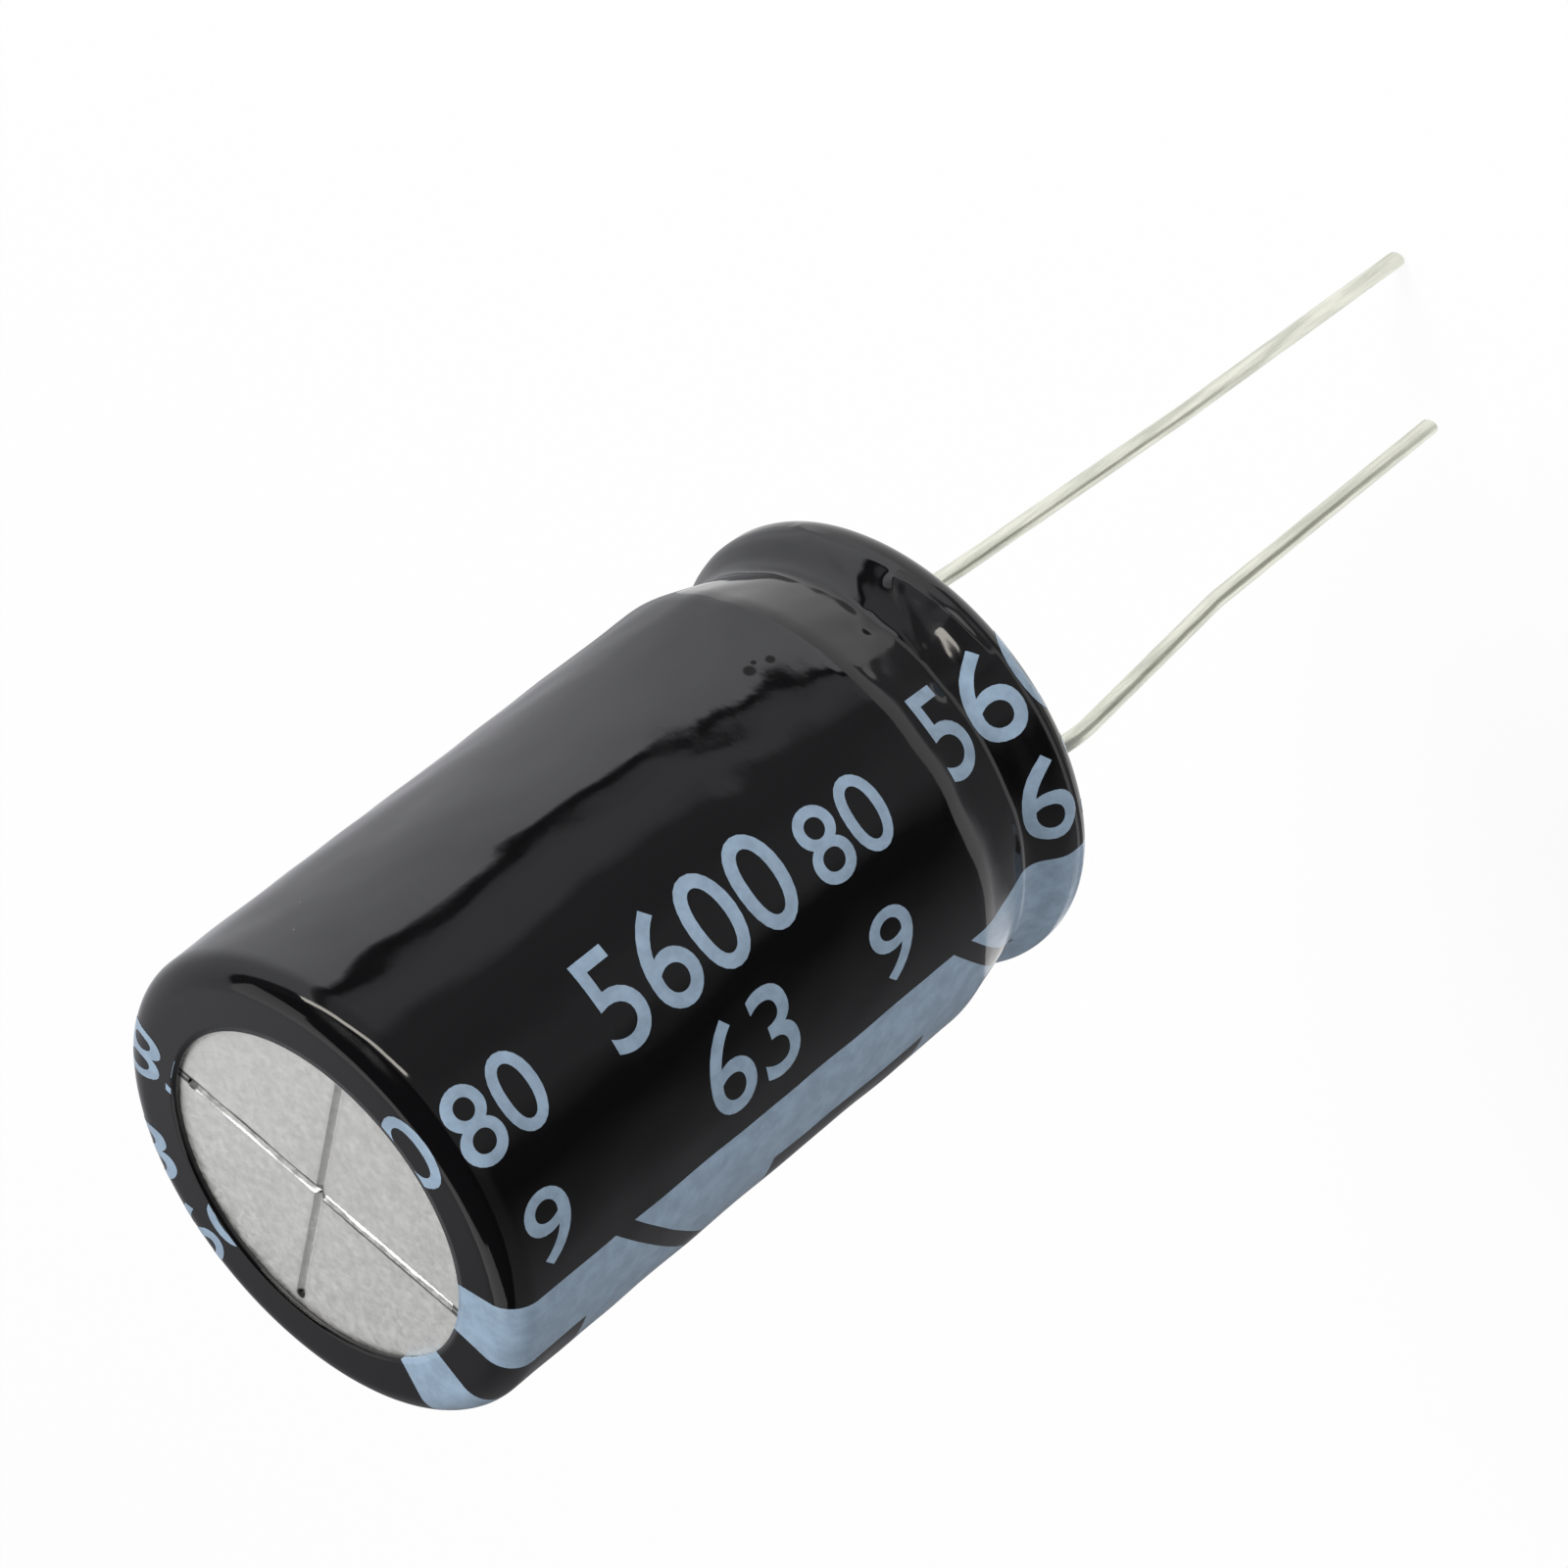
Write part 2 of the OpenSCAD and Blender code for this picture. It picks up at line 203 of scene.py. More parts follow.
floor_look = bpy.data.materials.new("floor_paper")
floor_tree = empty_tree(floor_look)
shaded = add(floor_tree, "ShaderNodeBsdfDiffuse", Color=(0.85, 0.85, 0.85, 1)).outputs[0]
glow = add(floor_tree, "ShaderNodeEmission", Strength=1.0).outputs[0]
plain = add(floor_tree, "ShaderNodeMixShader", _0=floor_glow, _1=shaded, _2=glow).outputs[0]
add(floor_tree, "ShaderNodeOutputMaterial", Surface=white_to_sight(floor_tree, plain, shaded))
floor.data.materials.append(floor_look)

world = bpy.data.worlds.new("studio")
scene.world = world
world_tree = empty_tree(world)
bright = add(world_tree, "ShaderNodeBackground", Strength=1.0).outputs[0]
fill = add(world_tree, "ShaderNodeBackground", Strength=world_level).outputs[0]
add(world_tree, "ShaderNodeOutputWorld", Surface=white_to_sight(world_tree, bright, fill))
print("floor at", round(floor_z / mm, 2), "mm")

# %% [markdown]
# A black glossy can shows what stands round it: in the photograph a soft panel that makes
# the broad grey sheen, and a darker room. The world could hold a picture of such a room, but
# bands of plain greys close round the can are set one by one until each reflection falls in
# its place. A band is a line turned about the can's axis. Only glossy rays see it.

# %% Bands round the can
tent_tint = (0.98, 0.985, 1.03, 1)
largest_step = 6


def turned_band(foot, head, start, angle, steps, rise=0.0):
    """Turns a line about Z. Its ends are a radius and a height, and it may rise as it turns."""
    band = bmesh.new()
    ends = [band.verts.new((radius, 0, height)) for radius, height in (foot, head)]
    line = band.edges.new(ends)
    bmesh.ops.rotate(band, verts=ends, cent=(0, 0, 0), matrix=Matrix.Rotation(start, 3, "Z"))
    bmesh.ops.spin(band, geom=ends + [line], cent=(0, 0, 0), axis=(0, 0, 1), angle=angle,
                   steps=steps, dvec=(0, 0, rise / steps), use_merge=angle == 2 * pi)
    bmesh.ops.remove_doubles(band, verts=band.verts, dist=merge_distance)
    return band


def seen_band(foot, head, turns, rise=0.0):
    """A turned band between two turns from the camera, in degrees."""
    low, high = turns
    return turned_band(foot, head, camera_azimuth + radians(low), radians(high - low),
                       ceil((high - low) / largest_step), rise)


def part_of_studio(name, bm, grey, tint=tent_tint):
    """A piece of the studio that only glossy rays see. Its grey is a number or a function of its
    tree.
    """
    piece = new_piece(name, bm)
    look = bpy.data.materials.new(name)
    tree = empty_tree(look)
    strength = grey(tree) if callable(grey) else grey
    light = add(tree, "ShaderNodeEmission", Color=tint, Strength=strength)
    add(tree, "ShaderNodeOutputMaterial", Surface=light.outputs[0])
    piece.data.materials.append(look)
    for ray in ("camera", "diffuse", "shadow", "transmission"):
        setattr(piece, f"visible_{ray}", False)
    print(name, "of", len(piece.data.polygons), "faces")


print("bands are made in steps of", largest_step, "degrees or less")

# %% [markdown]
# A mirror on an upright wall sends the camera's ray round by twice the wall's own turn. So
# the can's whole front mirrors a tent that stands all round it, and the tent's grey at each
# turn from the camera decides how bright one upright stripe of the can is. Several lamps
# could make these bands too, but a colour ramp keeps them all in one list.

# %% Studio tent
tent_r = 36 * mm
tent_low, tent_high = -21 * mm, 57 * mm
tent_steps = 96
# Turn from the camera in degrees, and how bright the tent is there.
tent_greys = [
    (-180, 0.36), (-166, 0.2), (-140, 0.15), (-104, 0.28), (-86, 0.3), (-62, 0.17), (-44, 0.03),
    (-34, 0.04), (-22, 0.34), (-6, 0.34), (6, 0.24), (27, 0.26), (34, 0.62), (46, 0.62),
    (53, 0.5), (54.5, 0.06), (60, 0.04), (61.5, 1.52), (72, 1.49), (86, 1.37), (101, 1.15),
    (116, 0.92), (131, 0.74), (150, 0.66), (164, 0.66), (173, 0.5), (180, 0.36),
]
# Near the foot the greys swing round by foot_swing, but not on the stripe's side.
foot_top, foot_end, foot_swing = -4 * mm, -16 * mm, radians(26)
swing_from, swing_all = 0.0, radians(35)
# Higher up they are evened out: a share of each grey, and the same added to all.
even_from, even_all, even_share, even_grey = 14 * mm, 30 * mm, 0.62, 0.11
# The head is dark, and starts higher on the side away from the camera.
head_from, head_all, head_share = 43 * mm, 46 * mm, 0.08
far_from, far_all, far_lift = radians(100), radians(140), 14 * mm


def ramp_place(turn_deg):
    """Where a turn from -180 to 180 degrees stands on a ramp from 0 to 1."""
    return turn_deg / 360 + 0.5


def grey_by_turn(tree, around):
    """The tent's grey at a turn from the camera."""
    place = maths(tree, "ADD", maths(tree, "DIVIDE", around, 2 * pi), 0.5)
    ramp = add(tree, "ShaderNodeValToRGB", Fac=place)
    brightest = max(grey for _, grey in tent_greys)
    bands = ramp.color_ramp.elements
    for turn_deg, _ in tent_greys[1:-1]:
        bands.new(ramp_place(turn_deg))
    for band, (turn_deg, grey) in zip(bands, tent_greys):
        band.position = ramp_place(turn_deg)
        band.color = [grey / brightest] * 3 + [1]
    return maths(tree, "MULTIPLY", ramp.outputs[0], brightest)


def tent_grey(tree):
    """The tent's grey by its turn from the camera and its height."""
    place = split(tree, turned_back(tree, camera_azimuth))
    around = maths(tree, "ARCTAN2", place["Y"], place["X"])
    swing = soft_step(tree, place["Z"], foot_top, foot_end, 0.0, foot_swing)
    swing = maths(tree, "MULTIPLY", swing, soft_step(tree, around, swing_from, swing_all))
    around = maths(tree, "ADD", around, swing)
    grey = grey_by_turn(tree, around)
    even = maths(tree, "ADD", maths(tree, "MULTIPLY", grey, even_share), even_grey)
    rise = soft_step(tree, place["Z"], even_from, even_all)
    grey = add(tree, "ShaderNodeMix", _0=rise, _2=grey, _3=even).outputs[0]
    off_front = maths(tree, "ABSOLUTE", around)
    lift = soft_step(tree, off_front, far_from, far_all, 0.0, far_lift)
    height = maths(tree, "SUBTRACT", place["Z"], lift)
    head = soft_step(tree, height, head_from, head_all, 1.0, head_share)
    return maths(tree, "MULTIPLY", grey, head)


tent = turned_band((tent_r, tent_low), (tent_r, tent_high), 0, 2 * pi, tent_steps)
part_of_studio("studio_tent", tent, tent_grey)

# %% [markdown]
# The rest of the studio is there for single reflections. A dark lid over the tent and, on
# the camera's side, a dark hood keep the corner round the vent black. A slanted strip window
# under the hood draws one thin bright line on that corner and a glint on the puckers of the
# rim. A dark collar stands round the roots of the leads, where the slope of the groove looks,
# and a small dark card gives the bright leads a darker edge. Painting these tones on the
# film would be simpler, but they would stay in place when the view changes.

# %% Lid, hood, window, collar and card
lid_r, lid_z, lid_steps = 21 * mm, 62 * mm, 48
hood_turns, dark_grey = (-110, 110), 0.03
window_r = tent_r - 0.5 * mm
window_low, window_high, window_rise = 33.5 * mm, 38.7 * mm, 12 * mm
window_turns, window_grey, window_tint = (14, 70), 9.0, (1, 0.95, 0.87, 1)
collar_r, collar_low, collar_high, collar_turns = 12.3 * mm, -9 * mm, -3 * mm, (-115, 31)
collar_edge, collar_dark = 2.6 * mm, 0.24
card_r, card_low, card_high, card_turns = 12 * mm, -29 * mm, -9 * mm, (-62, -14)
card_grey, card_tint = 0.36, (1, 1, 0.94, 1)


def collar_grey(tree):
    """The collar's grey: as bright as the floor at its top edge, dark below."""
    height = split(tree, on_object(tree))["Z"]
    return soft_step(tree, height, collar_high - collar_edge, collar_high, collar_dark, 1.0)


lid = turned_band((lid_r, lid_z), (0, lid_z), 0, 2 * pi, lid_steps)
hood = seen_band((tent_r, tent_high), (lid_r, lid_z), hood_turns)
window = seen_band((window_r, window_low), (window_r, window_high), window_turns, window_rise)
collar = seen_band((collar_r, collar_low), (collar_r, collar_high), collar_turns)
card = seen_band((card_r, card_low), (card_r, card_high), card_turns)
part_of_studio("studio_lid", lid, dark_grey)
part_of_studio("studio_hood", hood, dark_grey)
part_of_studio("strip_window", window, window_grey, window_tint)
part_of_studio("groove_collar", collar, collar_grey)
part_of_studio("lead_card", card, card_grey, card_tint)

# %% [markdown]
# One round lamp stands high beside the camera and gives the bare metal and the ink their
# level. Its light passes through the tent, because the tent casts no shadow. The tent could
# be bright enough to light the metal by itself, but with a lamp the level of the metal and
# what the black film mirrors are set apart from each other.

# %% Key lamp
key_azimuth, key_height, key_distance = radians(-62), radians(53), 0.5
key_data = bpy.data.lights.new("key_lamp", "AREA")
key_data.shape = "DISK"
key_data.size = 0.2
key_data.energy = 2.05
key_lamp = bpy.data.objects.new("key_lamp", key_data)
scene.collection.objects.link(key_lamp)
key_way = way_to(key_azimuth, key_height)
key_lamp.location = body_middle + key_way * key_distance
key_lamp.rotation_euler = key_way.to_track_quat("Z", "Y").to_euler()
print("key lamp at", [round(v, 2) for v in key_lamp.location], "m")

# %% [markdown]
# The sleeve is a film shrunk over the can, so its outside repeats the can's outline: a flat
# fold on the vent, a round corner, the long wall, the rolled groove, the curled rim and a
# flat fold on the seat. It could be a curve with handles, but a drawing of this part gives
# lengths and radii, so the outline is drawn with a pen that moves in two ways. A straight
# stretch is a spin with no turn, only a step. A bend spins the tip about the centre of its
# arc. The numbers are those of the CAD model, so the new skin keeps its form.

# %% Outline of the sleeve
film = 0.18 * mm
film_gap = 0.02 * mm
skin = film + film_gap
can_r = 8 * mm
can_top = 26.8 * mm
vent_fold = 2.13 * mm
seat_fold = 2 * mm
corner_r = 0.8 * mm
groove_r = 1.25 * mm
shoulder_r, high_slope, high_flank = 3.05 * mm, atan2(7, 24), 2.1 * mm
lip_r, low_slope, low_flank = 0.8 * mm, atan2(3, 4), 0.38 * mm
skirt_h = 0.2 * mm
rim_r = 0.75 * mm
low_h = (lip_r + groove_r) * sin(low_slope) + low_flank * cos(low_slope)
high_h = (shoulder_r + groove_r) * sin(high_slope) + high_flank * cos(high_slope)
groove_top = skin + rim_r + skirt_h + low_h + high_h
wall_h = can_top - corner_r - groove_top
# How many steps each stretch and bend gets, from the vent to the seat.
fold_steps, corner_steps, wall_steps = 6, 14, 40
shoulder_steps, high_steps, groove_steps = 10, 14, 12
low_steps, lip_steps, skirt_steps, rim_steps = 3, 8, 2, 16


class Pen:
    """Draws in the XZ plane with a point or a ring, one stretch or bend after the other."""

    def __init__(self, bm, tip, place, heading):
        self.bm = bm
        self.tip = tip
        self.place = Vector(place)
        self.heading = heading

    def straight(self, length, steps=1):
        """Moves the tip on by a length."""
        step = Vector((cos(self.heading), 0, sin(self.heading))) * (length / steps)
        made = bmesh.ops.spin(self.bm, geom=self.tip, cent=self.place, axis=(0, -1, 0),
                              dvec=step, angle=0, steps=steps)
        self.tip = made["geom_last"]
        self.place += step * steps

    def bend(self, radius, turn, steps):
        """Moves the tip round an arc, to the left for a turn above 0."""
        to_hub = self.heading + (pi / 2 if turn > 0 else -pi / 2)
        hub = self.place + Vector((cos(to_hub), 0, sin(to_hub))) * radius
        made = bmesh.ops.spin(self.bm, geom=self.tip, cent=hub, axis=(0, -1, 0),
                              angle=turn, steps=steps)
        self.tip = made["geom_last"]
        self.place = hub + Matrix.Rotation(-turn, 3, "Y") @ (self.place - hub)
        self.heading += turn


skin_bm = bmesh.new()
lip = (can_r - vent_fold, 0, can_top + skin)
pen = Pen(skin_bm, [skin_bm.verts.new(lip)], lip, 0)
pen.straight(vent_fold - corner_r, fold_steps)
pen.bend(corner_r + skin, -pi / 2, corner_steps)
pen.straight(wall_h, wall_steps)
pen.bend(shoulder_r + skin, -high_slope, shoulder_steps)
pen.straight(high_flank, high_steps)
pen.bend(groove_r - skin, high_slope + low_slope, groove_steps)
pen.straight(low_flank, low_steps)
pen.bend(lip_r + skin, -low_slope, lip_steps)
pen.straight(skirt_h, skirt_steps)
pen.bend(rim_r + skin, -pi / 2, rim_steps)
pen.straight(seat_fold - rim_r, fold_steps)
outline = [v.co.copy() for v in skin_bm.verts]
print("outline of", len(outline), "points, from z",
      round(outline[0].z / mm, 3), "to", round(outline[-1].z / mm, 3), "mm")

# %% [markdown]
# A shrunk film is never quite true: it follows the can with shallow waves a few hundredths
# of a millimetre high, which is what makes the edge of a reflection wander. A Displace
# modifier could make them, but the print has to lie on the same waves, so both ask one
# function, which takes them from Perlin noise. Over the curled rim the film had too much
# girth to shrink, and puckered. A pucker is a ridge or a dent that runs from one place to
# another and fades off on both sides. The skin is spun in two goes, with finer steps where
# the puckers are.

# %% Waves and puckers of the film
wave_h = 0.055 * mm
waves_round, waves_per_mm = 3.1, 0.27
small_waves, small_wave_share = 2.3, 0.5
fade_at_vent, fade_at_seat = 2 * mm, 3 * mm
fine_start, fine_turn = radians(-10), radians(75)
fine_steps, coarse_steps = 120, 150
pucker_top = 7
puckers = [
    # from a turn and height to another, in degrees and mm, how wide and how high in mm
    ((28, 1.6), (11, 2.5), 0.16, 0.060),
    ((28, 1.5), (2, 1.2), 0.20, 0.070),
    ((24, 1.7), (13, 2.2), 0.25, -0.040),
    ((12, 1.5), (3, 1.75), 0.34, 0.120),
    ((1, 2.9), (0, 1.5), 0.30, -0.035),
    ((24, 3.3), (52, 1.5), 0.28, -0.035),
    ((30, 2.4), (60, 1.0), 0.22, 0.030),
    ((14, 4.6), (22, 3.2), 0.45, -0.035),
    ((190, 2.9), (203, 1.5), 0.35, 0.045),
    ((206, 2.4), (218, 1.3), 0.30, -0.035),
]


def clamp(value):
    """A value kept between 0 and 1."""
    return min(1, max(0, value))


def ridge(around, height, pucker):
    """The height that one pucker adds at a turn from the camera in degrees and a height in mm."""
    (turn_a, low_a), (turn_b, low_b), wide, high = pucker
    per_degree = radians(1) * can_r / mm
    from_a = (around - turn_a + 180) % 360 - 180
    point = Vector((from_a * per_degree, height - low_a))
    line = Vector(((turn_b - turn_a) * per_degree, low_b - low_a))
    share = clamp(point.dot(line) / line.length_squared)
    return high * exp(-((point - line * share).length / wide) ** 2)


def wave(place):
    """How far the film stands off its true outline at a place on it."""
    around = atan2(place.y, place.x)
    height = place.z / mm
    where = Vector((waves_round * cos(around), waves_round * sin(around), height * waves_per_mm))
    fade = clamp((can_top - place.z) / fade_at_vent) * clamp(place.z / fade_at_seat)
    swell = noise.noise(where) + small_wave_share * noise.noise(where * small_waves)
    off = wave_h * fade * swell
    if height < pucker_top:
        turned = degrees(around - camera_azimuth)
        off += mm * sum(ridge(turned, height, pucker) for pucker in puckers)
    return off


bmesh.ops.rotate(skin_bm, verts=skin_bm.verts, cent=(0, 0, 0),
                 matrix=Matrix.Rotation(camera_azimuth + fine_start, 3, "Z"))
spun = bmesh.ops.spin(skin_bm, geom=skin_bm.verts[:] + skin_bm.edges[:], cent=(0, 0, 0),
                      axis=(0, 0, 1), angle=fine_turn, steps=fine_steps)
bmesh.ops.spin(skin_bm, geom=spun["geom_last"], cent=(0, 0, 0),
               axis=(0, 0, 1), angle=2 * pi - fine_turn, steps=coarse_steps)
bmesh.ops.remove_doubles(skin_bm, verts=skin_bm.verts, dist=merge_distance)
bmesh.ops.recalc_face_normals(skin_bm, faces=skin_bm.faces)
for v in skin_bm.verts:
    out = Vector((v.co.x, v.co.y, 0)).normalized()
    v.co += out * wave(v.co)
shrunk_sleeve = new_piece("shrunk_sleeve", skin_bm)
shrunk_sleeve.data.shade_smooth()
wall = shrunk_sleeve.modifiers.new("film", "SOLIDIFY")
wall.thickness = film
wall.offset = -1
wall.use_even_offset = True
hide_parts("sleeve")
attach(shrunk_sleeve, "root")
print("sleeve mesh of", len(shrunk_sleeve.data.polygons), "faces")

# %% [markdown]
# The print is real ink on the film, far too thin to measure by eye. An image could carry it,
# but its edges would blur in a close view, so each number is a flat text mesh that is cut
# into a fine grid and then wrapped: its reading direction becomes the way down the outline,
# and its height becomes the way round the can.

# %% Wrap flat print on the film
ink_lift = 0.009 * mm
way = [0.0]
for before, after in zip(outline, outline[1:]):
    way.append(way[-1] + (after - before).length)
film_length = way[-1]
wall_start = fold_steps + corner_steps


def on_film(along, around):
    """The place on the film at a length along the outline and an angle, ink's height off it."""
    n = 1
    while n < len(way) - 1 and way[n] < along:
        n += 1
    share = (along - way[n - 1]) / (way[n] - way[n - 1])
    place = outline[n - 1].lerp(outline[n], share)
    step = outline[n] - outline[n - 1]
    off = Vector((-step.z, 0, step.x)).normalized()
    spin = Matrix.Rotation(around, 3, "Z")
    round_place = spin @ place
    flat_out = Vector((cos(around), sin(around), 0))
    return round_place + flat_out * wave(round_place) + (spin @ off) * ink_lift


def along_at(z):
    """Length along the outline where the long wall has a height."""
    return way[wall_start] + outline[wall_start].z - z


print("film is", round(film_length / mm, 2), "mm long from fold to fold")

# %% [markdown]
# A number is set by a text object, which is a curve and not a mesh. Drawing each figure by
# hand would give the same, but a text object already has them. It is turned into a mesh and
# taken away, and the mesh is scaled to the height and width that the print has.

# %% Flat numbers
stroke_gain = 0.006
curve_steps = 6


def flat_number(body, height, width):
    """A number as a flat mesh whose left foot is at the origin, x to the right, y up."""
    curve = bpy.data.curves.new("number", "FONT")
    curve.body = body
    curve.resolution_u = curve_steps
    curve.offset = stroke_gain
    holder = bpy.data.objects.new("number", curve)
    scene.collection.objects.link(holder)
    bpy.context.view_layer.update()
    graph = bpy.context.evaluated_depsgraph_get()
    flat = bpy.data.meshes.new_from_object(holder.evaluated_get(graph))
    bpy.data.objects.remove(holder)
    bpy.data.curves.remove(curve)
    low_x, low_y = [min(v.co[axis] for v in flat.vertices) for axis in (0, 1)]
    high_x, high_y = [max(v.co[axis] for v in flat.vertices) for axis in (0, 1)]
    flat.transform(Matrix.Translation((-low_x, -low_y, 0)))
    flat.transform(Matrix.Diagonal((width / (high_x - low_x), height / (high_y - low_y), 1, 1)))
    return flat


print("numbers are set with", curve_steps, "steps to each stretch of a curve")

# %% [markdown]
# A sleeve is printed as a long flat film, then cut to length and shrunk, so the same figures
# come back at every repeat of the print, and a cut may go right through one. Each number
# could be placed by hand, but here it is made once and copied up and down by that repeat, and
# what would pass the edge of a fold is cut off. On the far side the figures read towards the
# vent.

# %% The numbers and where they stand
print_repeat = 15.45 * mm
copies = (-1, 0, 1, 2)
bare_edge = 0.15 * mm
grid_step = 0.15 * mm
front_prints = [
    # number, cap height, width, start height, turn of its foot
    ("5600", 3.25 * mm, 8.4 * mm, 20.3 * mm, radians(-18)),
    ("80", 2.6 * mm, 3.5 * mm, 11.1 * mm, radians(-18)),
    ("63", 3.1 * mm, 3.9 * mm, 17.9 * mm, radians(-46)),
    ("9", 2.5 * mm, 1.8 * mm, 10.4 * mm, radians(-46)),
]
back_prints = [
    ("85", 2.4 * mm, 3.6 * mm, 26.5 * mm, radians(122)),
    ("3", 2.4 * mm, 1.7 * mm, 26.3 * mm, radians(155)),
    ("60", 2.4 * mm, 3.6 * mm, 26.4 * mm, radians(178)),
]


def cut(bm, axis, place, keep_side=0):
    """Cuts a flat mesh across an axis, and with a side of -1 or 1 keeps only that side."""
    along = Vector((axis == 0, axis == 1, 0))
    bmesh.ops.bisect_plane(bm, geom=bm.verts[:] + bm.edges[:] + bm.faces[:],
                           plane_co=along * place, plane_no=along * (-keep_side or 1),
                           clear_outer=keep_side != 0)


def print_number(ink, flat, start, foot, way_down):
    """Wraps one copy of a flat number on the film and joins it to the ink."""
    one = bmesh.new()
    one.from_mesh(flat)
    if way_down < 0:
        half_turn = Matrix.Rotation(pi, 3, "Z")
        bmesh.ops.rotate(one, verts=one.verts, cent=(0, 0, 0), matrix=half_turn)
    bmesh.ops.translate(one, verts=one.verts, vec=(start, 0, 0))
    cut(one, 0, bare_edge, 1)
    cut(one, 0, film_length - bare_edge, -1)
    if one.verts:
        for axis in (0, 1):
            low = min(v.co[axis] for v in one.verts)
            high = max(v.co[axis] for v in one.verts)
            for n in range(1, ceil((high - low) / grid_step)):
                cut(one, axis, low + n * grid_step)
        for v in one.verts:
            v.co = on_film(v.co.x, camera_azimuth + foot + v.co.y / (can_r + skin))
        part = bpy.data.meshes.new("part")
        one.to_mesh(part)
        ink.from_mesh(part)
        bpy.data.meshes.remove(part)
    one.free()


ink_bm = bmesh.new()
for prints, way_down in ((front_prints, 1), (back_prints, -1)):
    for body, height, width, start_z, foot in prints:
        flat = flat_number(body, height, width)
        for copy in copies:
            start = along_at(start_z) + copy * print_repeat
            print_number(ink_bm, flat, start, foot, way_down)
        bpy.data.meshes.remove(flat)
printed_numbers = new_piece("printed_numbers", ink_bm)
printed_numbers.data.shade_smooth()
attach(printed_numbers, "root")
print("print of", len(printed_numbers.data.polygons), "faces")

# %% [markdown]
# A lead is tinned copper-clad wire, welded to its boss inside the seal, then bent a little
# each time someone handles it. A curve with a round section would make a wire too, but it
# thins where it bends sharply. So the lead is drawn with the outline's pen, with a ring of
# points at its tip, and each straight stretch and each bend leaves a length of tube. The
# cutter leaves the end slightly slanted.

# %% Leads
wire_r = 0.3 * mm
wire_bend_r = 6 * mm
weld_z, weld_h, weld_r = 1.75 * mm, 0.4 * mm, 0.7 * mm
lead_x = 3.75 * mm
anode_drop, cathode_drop = 28.9 * mm, 23.5 * mm
ring_points, root_steps, bend_steps, longest_step = 24, 3, 5, 0.4 * mm
end_slant, sharp_edge = 0.3, radians(50)
ripple_h, ripple_size = 0.006 * mm, 0.9 * mm


def only(kind, geometry):
    """Those of some bmesh elements that are of one kind."""
    return [g for g in geometry if isinstance(g, kind)]


def lead(node, x, bends, drop):
    """A wire down from its weld. A bend has a height, and the lean after it in degrees."""
    wire = bmesh.new()
    ring = bmesh.ops.create_circle(wire, cap_ends=True, radius=weld_r, segments=ring_points)
    bmesh.ops.translate(wire, verts=ring["verts"], vec=(x, 0, weld_z))
    pen = Pen(wire, wire.verts[:] + wire.edges[:], (x, 0, weld_z), -pi / 2)
    pen.straight(weld_h)
    narrower = wire_r / weld_r
    bmesh.ops.scale(wire, verts=only(bmesh.types.BMVert, pen.tip), vec=(narrower, narrower, 1),
                    space=Matrix.Translation((-x, 0, 0)))
    pen.straight(pen.place.z - bends[0][0], root_steps)
    outward_side = 1 if x > 0 else -1
    for n, (height, lean) in enumerate(bends):
        before = bends[n - 1][1] if n else 0
        pen.bend(wire_bend_r + wire_r, radians(before - lean) * outward_side, bend_steps)
        low = -drop if n == len(bends) - 1 else bends[n + 1][0]
        run = (pen.place.z - low) / cos(radians(lean))
        pen.straight(run, ceil(run / longest_step))
    end_ring = only(bmesh.types.BMVert, pen.tip)
    middle = sum((v.co for v in end_ring), Vector()) / len(end_ring)
    for v in end_ring:
        v.co.z += abs(v.co.x - middle.x + wire_r) * end_slant
    bmesh.ops.contextual_create(wire, geom=only(bmesh.types.BMEdge, pen.tip))
    bmesh.ops.recalc_face_normals(wire, faces=wire.faces)
    wire.normal_update()
    for v in wire.verts:
        if v.co.z < 0 and v not in end_ring:
            v.co += v.normal * ripple_h * noise.noise(v.co / ripple_size)
    piece = new_piece(node + "_tinned", wire)
    piece.data.shade_smooth()
    piece.data.set_sharp_from_angle(angle=sharp_edge)
    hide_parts(node)
    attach(piece, "root")
    tip_z = min(v.co.z for v in piece.data.vertices) / mm
    print(node, "of", len(piece.data.polygons), "faces ends at", round(tip_z, 2), "mm")
    return piece


anode_bends = [(-0.9 * mm, 5.4), (-6.4 * mm, 3.2), (-17.5 * mm, 2)]
cathode_bends = [(-0.8 * mm, -7), (-3.4 * mm, 4.8), (-11.6 * mm, 0)]
anode_lead = lead("anode_wire", lead_x, anode_bends, anode_drop)
cathode_lead = lead("cathode_wire", -lead_x, cathode_bends, cathode_drop)

# %% [markdown]
# Two effects are used by most of the finishes. Their nodes could be copied into every
# material, but as node groups they are built once, and each material only gives them its
# own values. Mottle gives soft patches of a value between a low and a high one. Grain gives
# a fine height for a Bump node. Both take the size of their patches as a number per metre.

# %% Node groups
noise_low, noise_high = 0.3, 0.7


def group(name, inputs, outputs):
    """A node group with its sockets, its input node and its output node."""
    made = bpy.data.node_groups.new(name, "ShaderNodeTree")
    for socket, kind, value in inputs:
        made_socket = made.interface.new_socket(socket, in_out="INPUT", socket_type=kind)
        if value is not None:
            made_socket.default_value = value
    for socket, kind in outputs:
        made.interface.new_socket(socket, in_out="OUTPUT", socket_type=kind)
    return made, made.nodes.new("NodeGroupInput").outputs, made.nodes.new("NodeGroupOutput")


